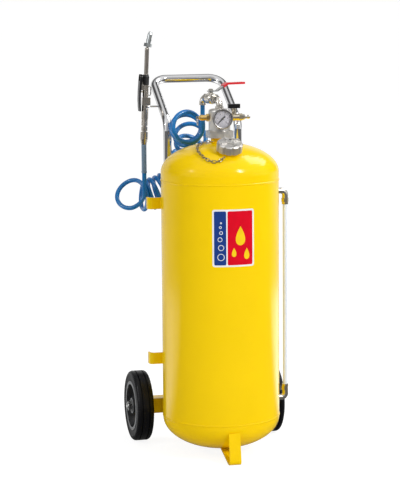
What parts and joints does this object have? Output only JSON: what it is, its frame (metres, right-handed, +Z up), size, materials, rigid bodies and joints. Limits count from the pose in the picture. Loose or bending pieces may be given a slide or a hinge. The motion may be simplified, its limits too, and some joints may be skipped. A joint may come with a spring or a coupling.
{
  "type": "wheeled pressure sprayer cart",
  "caption": "Upright pressure tank on a wheeled frame with a tube handle, valve group, level tube, filler cap, spiral hose and a hanging spray gun.",
  "frame": {"origin": "floor level, middle of the box round the cart without its hose", "axes": "+Z up, -Y the front with the gauge and the foot, +X the level tube's side"},
  "size_m": [0.4338, 0.5259, 1.0942],
  "materials": {
    "yellow_paint": "gloss",
    "dip_steel": "drawn",
    "dark_plastic": "moulded",
    "zinc_steel": "zinc plated",
    "handle_chrome": "bright",
    "tyre_black": "moulded",
    "rim_grey": "moulded",
    "seal_rubber": "moulded",
    "cast_aluminium": "turned",
    "gauge_steel": "bright",
    "dial_white": "printed",
    "needle_black": "matt",
    "lens_clear": "clear",
    "brass_bright": "turned",
    "nickel": "nickel plated",
    "black_gloss": "moulded",
    "red_sleeve": "dipped",
    "hose_blue": "extruded",
    "sleeve_blue_grey": "moulded",
    "tube_white": "milky",
    "chain_steel": "zinc plated",
    "gun_metal": "satin",
    "lance_steel": "dark"
  },
  "bodies": {
    "cart": {"tank_shell": "yellow_paint", "top_head": "yellow_paint", "bottom_head": "yellow_paint", "outlet_neck": "yellow_paint", "filler_neck": "yellow_paint", "front_foot": "yellow_paint", "upper_hose_hook": "yellow_paint", "lower_hose_hook": "yellow_paint", "axle_beam": "yellow_paint", "axle_gussets": "yellow_paint", "handle_brackets": "yellow_paint", "dip_tube": "dip_steel", "dip_strainer": "dark_plastic", "axle": "zinc_steel", "axle_washers": "zinc_steel", "axle_nuts": "zinc_steel", "trigger_pin": "zinc_steel", "gun_guard": "zinc_steel", "handle": "handle_chrome", "gun_holder": "handle_chrome", "neck_gasket": "seal_rubber", "collar_nut": "cast_aluminium", "valve_block": "cast_aluminium", "gauge_case": "gauge_steel", "gauge_bezel": "gauge_steel", "gauge_dial": "dial_white", "gauge_lens": "lens_clear", "relief_body": "brass_bright", "level_nuts": "brass_bright", "air_tap_body": "nickel", "air_plug": "nickel", "outlet_elbow": "nickel", "outlet_valve_body": "nickel", "hose_elbow": "nickel", "level_fittings": "nickel", "spiral_hose": "hose_blue", "hose_sleeve": "sleeve_blue_grey", "level_tube": "tube_white", "cap_chain": "chain_steel", "gun_body": "gun_metal", "gun_lance": "lance_steel"},
    "left_wheel": {"left_tyre": "tyre_black", "left_rim": "rim_grey", "left_bush": "dark_plastic"},
    "right_wheel": {"right_tyre": "tyre_black", "right_rim": "rim_grey", "right_bush": "dark_plastic"},
    "outlet_handle": {"outlet_valve_ball": "nickel", "outlet_lever": "zinc_steel", "lever_sleeve": "red_sleeve"},
    "air_handle": {"air_tap_ball": "nickel", "air_tap_lever": "black_gloss"},
    "pointer": {"gauge_needle": "needle_black"},
    "relief_pull": {"relief_stem": "brass_bright", "relief_ring": "zinc_steel"},
    "seal": {"cap_seal": "seal_rubber"},
    "cap": {"filler_cap": "cast_aluminium"},
    "trigger": {"gun_trigger": "black_gloss"},
    "valve_push": {"valve_pin": "zinc_steel"},
    "nozzle": {"gun_nozzle": "gun_metal"}
  },
  "joints": [
    {"name": "left_wheel_spin", "type": "hinge", "parent": "cart", "child": "left_wheel", "pos_m": [-0.181, 0.08414, 0.094], "axis": [1, 0, 0], "continuous": true},
    {"name": "right_wheel_spin", "type": "hinge", "parent": "cart", "child": "right_wheel", "pos_m": [0.181, 0.08414, 0.094], "axis": [1, 0, 0], "continuous": true},
    {"name": "outlet_lever_turn", "type": "hinge", "parent": "cart", "child": "outlet_handle", "pos_m": [-0.01162, -0.05794, 0.9253], "axis": [0, 0, 1], "range_deg": [0, 90]},
    {"name": "air_lever_turn", "type": "hinge", "parent": "cart", "child": "air_handle", "pos_m": [0.03785, -0.10317, 0.8793], "axis": [0, 0, 1], "range_deg": [0, 90]},
    {"name": "pointer_turn", "type": "hinge", "parent": "cart", "child": "pointer", "pos_m": [-0.00427, -0.14867, 0.8793], "axis": [0.0872, 0.9962, 0], "range_deg": [0, 270], "stiffness_Nm_per_rad": 0.0005},
    {"name": "relief_slide", "type": "slide", "parent": "cart", "child": "relief_pull", "axis": [-0.9962, 0.0872, 0], "range_m": [0, 0.004], "stiffness_N_per_m": 500},
    {"name": "cap_lift", "type": "slide", "parent": "cart", "child": "seal", "axis": [0, -0.342, 0.9397], "range_m": [0, 0.0101]},
    {"name": "cap_turn", "type": "hinge", "parent": "seal", "child": "cap", "pos_m": [0, -0.19486, 0.79945], "axis": [0, -0.342, 0.9397], "range_deg": [0, 900]},
    {"name": "trigger_pull", "type": "hinge", "parent": "cart", "child": "trigger", "pos_m": [-0.15178, 0.13814, 0.9754], "axis": [0, -1, 0], "range_deg": [0, 2.5], "stiffness_Nm_per_rad": 1},
    {"name": "valve_push_slide", "type": "slide", "parent": "cart", "child": "valve_push", "axis": [0.999, 0, -0.0454], "range_m": [0, 0.002]},
    {"name": "nozzle_turn", "type": "hinge", "parent": "cart", "child": "nozzle", "pos_m": [-0.13552, 0.13814, 1.04674], "axis": [0.2181, 0, 0.9759], "range_deg": [0, 540]}
  ],
  "couplings": [
    {"joint": "cap_lift", "follows": "cap_turn", "m_per_rad": 0.00063662},
    {"joint": "valve_push_slide", "follows": "trigger_pull", "m_per_rad": 0.041}
  ]
}
